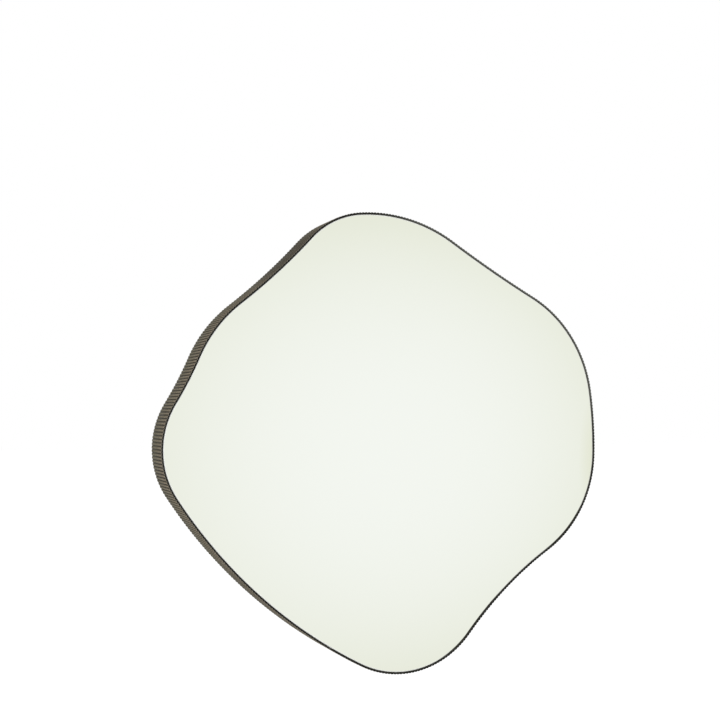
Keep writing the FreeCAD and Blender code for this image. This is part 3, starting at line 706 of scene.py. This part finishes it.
class MIRROR_OT_ribbed_band(bpy.types.Operator):
    """Build the deep band with its round upright ribs and dark front lip"""
    bl_idname = "mirror.ribbed_band"
    bl_label = "Ribbed band"

    def execute(self, context):
        low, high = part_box("ribbed_band")
        front, back = low[1], high[1]
        bm = bmesh.new()
        for arc in outline_arcs():
            self.add_ribs(bm, arc, front)
        bmesh.ops.remove_doubles(bm, verts=bm.verts[:], dist=MERGE)
        thicken(bm, bm.faces[:], back - front)
        rims = [edge for edge in bm.edges if at_depth(edge, front)
                and edge.calc_face_angle(0) > CORNER]
        bevel(bm, rims, sizes().lip_bevel, segments=2)
        self.mark_heights(bm)
        self.paint(bm)
        dark = colours().lip
        # the lip's outer bevel has painted light on its left and painted shade on its right
        materials = [band_lacquer(), lip_finish("dark lip", dark, dark),
                     lip_finish("lip inner bevel", colours().lip_inner, colours().lip_inner),
                     lip_finish("lip outer bevel", colours().lip_outer_painted_light, dark)]
        finish_piece(bm, "ribbed_band_fine", ["ribbed_band"], materials)
        return {"FINISHED"}

    def add_ribs(self, bm, arc, y):
        """Strips of faces from the ribs to the opening, one rib after another on one arc."""
        centre, radius, start, sweep = arc
        side = 1 if sweep < 0 else -1
        root = radius + side * sizes().band_wall
        count = max(1, round(root * abs(sweep) / sizes().rib_pitch))
        pitch = sweep / count
        hub = upright(centre, y)
        groove = upright(centre + direction(start) * root, y)
        next_groove = upright(centre + direction(start + pitch) * root, y)
        middle = (groove + next_groove) / 2
        outward = (middle - hub).normalized() * side
        half = (next_groove - groove).length / 2
        height = sizes().rib_height
        bead = (half ** 2 + height ** 2) / (2 * height)
        vert_count, edge_count, face_count = len(bm.verts), len(bm.edges), len(bm.faces)
        add_arc(bm, middle + outward * (height - bead), groove, -2 * math.asin(half / bead),
                sizes().rib_segments)
        bm.edges.ensure_lookup_table()
        grown = bmesh.ops.extrude_edge_only(bm, edges=bm.edges[edge_count:])["geom"]
        for vert in points(grown):
            vert.co = hub + (vert.co - hub).normalized() * radius
        bm.verts.ensure_lookup_table()
        bm.edges.ensure_lookup_table()
        bm.faces.ensure_lookup_table()
        strip = bm.verts[vert_count:] + bm.edges[edge_count:] + bm.faces[face_count:]
        if count > 1:
            spin(bm, strip, hub, pitch * (count - 1), count - 1, copies=True)

    def mark_heights(self, bm):
        """Store how high each point lies on its rib: 0 in a groove, 1 on a crest, -1 inside."""
        layer = bm.verts.layers.float.new("rib_height")
        arcs = outline_arcs()
        wall, rib = sizes().band_wall, sizes().rib_height
        for vert in bm.verts:
            outside = outline_distance(arcs, vert.co)
            vert[layer] = -1.0 if outside < wall / 2 else (outside - wall) / rib

    def paint(self, bm):
        """Front lip dark, its inner bevel a little paler, the rest lacquer."""
        arcs = outline_arcs()
        for face in bm.faces:
            if face.normal.y < -FACING:
                face.material_index = 1
            elif face.normal.y < -SLOPING:
                outside = outline_distance(arcs, face.calc_center_median())
                face.material_index = 2 if outside < sizes().band_wall / 2 else 3


class MIRROR_OT_glass(bpy.types.Operator):
    """Build the silvered glass with its ground arris"""
    bl_idname = "mirror.glass"
    bl_label = "Mirror glass"

    def execute(self, context):
        low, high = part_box("mirror_glass")
        front, back = low[1], high[1]
        bm = bmesh.new()
        add_outline(bm, -sizes().glass_gap, front)
        bmesh.ops.contextual_create(bm, geom=bm.edges[:])
        thicken(bm, bm.faces[:], back - front)
        rim = [edge for edge in bm.edges if at_depth(edge, front)]
        bevel(bm, rim, sizes().glass_arris, segments=2)
        for face in bm.faces:
            toward = -face.normal.y
            face.material_index = 0 if toward > FACING else 1 if toward > SLOPING else 2
        materials = [silvering(), glass_edge("ground arris", colours().glass_arris, 0.3),
                     glass_edge("ground edge", colours().glass_edge, 0.35)]
        finish_piece(bm, "mirror_glass_fine", ["mirror_glass"], materials)
        return {"FINISHED"}


class MIRROR_OT_boards(bpy.types.Operator):
    """Finish the boards, the spacer blocks and the thin layers behind the glass"""
    bl_idname = "mirror.boards"
    bl_label = "Boards and layers"

    def execute(self, context):
        dress(["rear_board", "front_board"], fibreboard())
        dress([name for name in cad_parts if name.startswith("spacer_block")], softwood())
        dress(["backing_film"], plain_sheet("backing film", colours().film, 0.45))
        dress(["mounting_tapes"], plain_sheet("foam tape", colours().foam, 0.85, scale=FOAM_CELLS))
        dress(["band_splice"], plain_sheet("mill aluminium", colours().aluminium, 0.35, 1.0))
        return {"FINISHED"}


class MIRROR_OT_keyhole_plates(bpy.types.Operator):
    """Build the stamped keyhole plates let into the rear board"""
    bl_idname = "mirror.keyhole_plates"
    bl_label = "Keyhole plates"

    def execute(self, context):
        zinc = zinc_plate()
        for node in ("keyhole_plate_left", "keyhole_plate_right"):
            low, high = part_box(node)
            bm = bmesh.new()
            self.add_rim(bm, low, high)
            self.add_keyhole(bm, (low[0] + high[0]) / 2, low[1])
            for place in plate_screw_places(node):
                add_circle(bm, place.x, low[1], place.z, sizes().plate_screw_hole, HOLE_STEPS)
            bmesh.ops.triangle_fill(bm, edges=bm.edges[:], use_beauty=True, normal=(0, -1, 0))
            thicken(bm, bm.faces[:], high[1] - low[1])
            rims = [edge for edge in bm.edges if at_depth(edge, high[1])
                    and edge.calc_face_angle(0) > SHARP]
            bevel(bm, rims, sizes().plate_bevel, segments=3)
            finish_piece(bm, node + "_fine", [node], [zinc])
        return {"FINISHED"}

    def add_rim(self, bm, low, high):
        """Upright slot shape that fills a box."""
        middle, radius = (low[0] + high[0]) / 2, (high[0] - low[0]) / 2
        right = Vector((radius, 0, 0))
        upper = Vector((middle, low[1], high[2] - radius))
        lower = Vector((middle, low[1], low[2] + radius))
        join_round(bm, add_arc(bm, upper, upper + right, math.pi, PLATE_STEPS),
                   add_arc(bm, lower, lower - right, math.pi, PLATE_STEPS))

    def add_keyhole(self, bm, across, y):
        """Round entry hole with the slot that rises out of its top."""
        entry = Vector((across, y, 0))
        slot_end = Vector((across, y, sizes().slot_rise))
        lean = math.acos(sizes().slot_radius / sizes().entry_radius)
        corner = Vector((math.cos(lean), 0, math.sin(lean))) * sizes().entry_radius
        left = Vector((-sizes().slot_radius, 0, 0))
        join_round(bm, add_arc(bm, entry, entry + corner, -math.pi - 2 * lean, ENTRY_STEPS),
                   add_arc(bm, slot_end, slot_end + left, -math.pi, SLOT_STEPS))


class MIRROR_OT_screws(bpy.types.Operator):
    """Build the pan-head screws of the rear board and of the keyhole plates"""
    bl_idname = "mirror.screws"
    bl_label = "Screws"

    def execute(self, context):
        zinc = zinc_plate()
        blocks = sorted(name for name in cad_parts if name.startswith("spacer_block"))
        corners = [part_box(name) for name in blocks]
        middles = [Vector(((low[0] + high[0]) / 2, 0, (low[2] + high[2]) / 2))
                   for low, high in corners]
        self.build("rear_board_screws", middles, zinc, sizes().board_screw_head,
                   sizes().board_screw_shank, sizes().board_screw_length)
        left = plate_screw_places("keyhole_plate_left")
        right = plate_screw_places("keyhole_plate_right")
        self.build("keyhole_plate_screws", left + right, zinc, sizes().plate_screw_head,
                   sizes().plate_screw_shank, sizes().plate_screw_length)
        return {"FINISHED"}

    def build(self, node, places, material, head, shank, reach):
        """One screw with a cross recess, copied to every place."""
        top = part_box(node)[1][1]
        bm = bmesh.new()
        self.add_recessed_crown(bm, head, top)
        ring = [edge for edge in bm.edges if len(edge.link_faces) == 1]
        for radius, fall in HEAD_PROFILE + ((shank / head, 1.0),):
            ring = self.extend(bm, ring, head * radius, top - fall * top)
        ring = self.extend(bm, ring, shank, shank * TIP_LENGTH - reach)
        ring = self.extend(bm, ring, shank * TIP_RADIUS, -reach)
        bmesh.ops.contextual_create(bm, geom=ring)
        bmesh.ops.recalc_face_normals(bm, faces=bm.faces[:])
        first = bm.verts[:] + bm.edges[:] + bm.faces[:]
        for place in places[1:]:
            copy = bmesh.ops.duplicate(bm, geom=first)["geom"]
            bmesh.ops.translate(bm, verts=points(copy), vec=place)
        bmesh.ops.translate(bm, verts=points(first), vec=places[0])
        finish_piece(bm, node + "_fine", [node], [material])

    def add_recessed_crown(self, bm, head, top):
        """Flat top of a head, with a tapering cross pressed into it."""
        lay_back = Matrix.Translation((0, top, 0)) @ Matrix.Rotation(math.pi / 2, 4, "X")
        bmesh.ops.create_grid(bm, x_segments=3, y_segments=3, size=head * CROSS_REACH,
                              matrix=lay_back)
        spots = [(face, face.calc_center_median()) for face in bm.faces]
        corners = [face for face, spot in spots
                   if min(abs(spot.x), abs(spot.z)) > head * CROSS_CORNER]
        bmesh.ops.delete(bm, geom=corners, context="FACES")
        cross = bm.faces[:]
        rim = [edge for edge in bm.edges if len(edge.link_faces) == 1]
        add_circle(bm, 0, top, 0, head * CROWN, CROWN_STEPS)
        circle = [edge for edge in bm.edges if not edge.link_faces]
        bmesh.ops.triangle_fill(bm, edges=rim + circle, use_beauty=True, normal=(0, 1, 0))
        pressed = bmesh.ops.extrude_face_region(bm, geom=cross)["geom"]
        bmesh.ops.delete(bm, geom=cross, context="FACES")
        floor = points(pressed)
        bmesh.ops.scale(bm, verts=floor, vec=(CROSS_TAPER, 1, CROSS_TAPER))
        bmesh.ops.translate(bm, verts=floor, vec=(0, -top * CROSS_DEPTH, 0))

    def extend(self, bm, ring, radius, y):
        """Extrude a ring about the Y axis to a new radius and depth."""
        grown = bmesh.ops.extrude_edge_only(bm, edges=ring)["geom"]
        for vert in points(grown):
            vert.co *= radius / math.hypot(vert.co.x, vert.co.z)
            vert.co.y = y
        return [item for item in grown if isinstance(item, bmesh.types.BMEdge)
                and len(item.link_faces) == 1 and at_depth(item, y)]


class MIRROR_OT_wall_bumpers(bpy.types.Operator):
    """Build the rounded rubber bumpers"""
    bl_idname = "mirror.wall_bumpers"
    bl_label = "Wall bumpers"

    def execute(self, context):
        black = rubber()
        for node in sorted(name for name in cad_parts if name.startswith("wall_bumper")):
            low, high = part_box(node)
            bm = bmesh.new()
            radius = (high[0] - low[0]) / 2
            add_circle(bm, (low[0] + high[0]) / 2, low[1], (low[2] + high[2]) / 2, radius,
                       BUMPER_STEPS)
            bmesh.ops.contextual_create(bm, geom=bm.edges[:])
            thicken(bm, bm.faces[:], high[1] - low[1])
            crown = [face for face in bm.faces if face.normal.y > FACING]
            bmesh.ops.inset_region(bm, faces=crown, thickness=radius * DISH_RIM)
            bmesh.ops.inset_region(bm, faces=crown, thickness=radius * DISH_SLOPE,
                                   depth=-sizes().bumper_dish)
            rim = [edge for edge in bm.edges if at_depth(edge, high[1])
                   and edge.calc_face_angle(0) > CORNER]
            bevel(bm, rim, sizes().bumper_round, segments=5)
            finish_piece(bm, node + "_fine", [node], [black])
        return {"FINISHED"}


class MIRROR_OT_stage(bpy.types.Operator):
    """Set the pale floor, the white surround, the soft lights and the camera"""
    bl_idname = "mirror.stage"
    bl_label = "Stage"

    def execute(self, context):
        self.lay_floor(context)
        self.light_world(context)
        self.hang_sun(context)
        for lamp in LAMPS:
            self.hang_lamp(context, *lamp)
        self.set_camera(context)
        context.scene.view_settings.view_transform = "Standard"
        return {"FINISHED"}

    def lay_floor(self, context):
        """Pale floor under the mirror, out past every view."""
        bm = bmesh.new()
        bmesh.ops.create_grid(bm, x_segments=1, y_segments=1, size=FLOOR_SIZE / 2)
        bmesh.ops.translate(bm, verts=bm.verts[:], vec=(0, 0, cad_box[0][2] - FLOOR_DROP))
        mesh = bpy.data.meshes.new("floor")
        bm.to_mesh(mesh)
        bm.free()
        mesh.materials.append(floor_paint())
        floor = bpy.data.objects.new("floor", mesh)
        context.scene.collection.objects.link(floor)

    def light_world(self, context):
        """White surround that is seen brighter than it lights."""
        world = bpy.data.worlds.new("white surround")
        context.scene.world = world
        world.use_nodes = True
        tree = world.node_tree
        background = tree.nodes["Background"]
        background.inputs["Color"].default_value = (1, 1, 1, 1)
        strength = spread(tree, seen_directly(tree), 0.0, 1.0, WORLD_LIGHT, 1.0)
        tree.links.new(strength, background.inputs["Strength"])

    def hang_sun(self, context):
        """Broad soft key light from the upper left."""
        lamp = bpy.data.lights.new("key_light", "SUN")
        lamp.energy = KEY_STRENGTH
        lamp.angle = KEY_SPREAD
        holder = bpy.data.objects.new("key_light", lamp)
        holder.rotation_euler = Vector(KEY_DIRECTION).to_track_quat("-Z", "Y").to_euler()
        holder.visible_glossy = False
        context.scene.collection.objects.link(holder)

    def hang_lamp(self, context, name, place, side, power):
        """Square soft lamp that faces the middle of the mirror and is never seen."""
        lamp = bpy.data.lights.new(name, "AREA")
        lamp.shape = "SQUARE"
        lamp.size = side
        lamp.energy = power
        holder = bpy.data.objects.new(name, lamp)
        holder.location = place
        aim = Vector((0, 0, -outline_settings().hang_height)) - Vector(place)
        holder.rotation_euler = aim.to_track_quat("-Z", "Y").to_euler()
        holder.visible_glossy = False
        holder.visible_camera = False
        context.scene.collection.objects.link(holder)

    def set_camera(self, context):
        """Camera a little below the middle and to the left, looking up and to the right."""
        data = bpy.data.cameras.new("camera")
        data.lens = CAMERA_LENS
        data.sensor_width = CAMERA_SENSOR
        camera = bpy.data.objects.new("camera", data)
        camera.location = CAMERA_PLACE
        camera.rotation_euler = Vector(CAMERA_FORWARD).to_track_quat("-Z", "Y").to_euler()
        context.scene.collection.objects.link(camera)
        context.scene.camera = camera


class MIRROR_PT_sidebar(bpy.types.Panel):
    """Buttons that build the mirror piece by piece"""
    bl_idname = "MIRROR_PT_sidebar"
    bl_label = "Pebble wall mirror"
    bl_space_type = "VIEW_3D"
    bl_region_type = "UI"
    bl_category = "Mirror"

    def draw(self, context):
        for step in STEPS:
            self.layout.operator(step.bl_idname)


GROUPS = (MirrorOutline, MirrorSizes, MirrorColours)
STEPS = (MIRROR_OT_ribbed_band, MIRROR_OT_glass, MIRROR_OT_boards, MIRROR_OT_keyhole_plates,
         MIRROR_OT_screws, MIRROR_OT_wall_bumpers, MIRROR_OT_stage)


def register():
    for item in GROUPS + STEPS + (MIRROR_PT_sidebar,):
        bpy.utils.register_class(item)
    bpy.types.Scene.mirror_outline = PointerProperty(type=MirrorOutline)
    bpy.types.Scene.mirror_sizes = PointerProperty(type=MirrorSizes)
    bpy.types.Scene.mirror_colours = PointerProperty(type=MirrorColours)


def unregister():
    del bpy.types.Scene.mirror_colours
    del bpy.types.Scene.mirror_sizes
    del bpy.types.Scene.mirror_outline
    for item in reversed(GROUPS + STEPS + (MIRROR_PT_sidebar,)):
        bpy.utils.unregister_class(item)


def main():
    register()
    bpy.ops.mirror.ribbed_band()
    bpy.ops.mirror.glass()
    bpy.ops.mirror.boards()
    bpy.ops.mirror.keyhole_plates()
    bpy.ops.mirror.screws()
    bpy.ops.mirror.wall_bumpers()
    bpy.ops.mirror.stage()


if __name__ == "__main__":
    main()
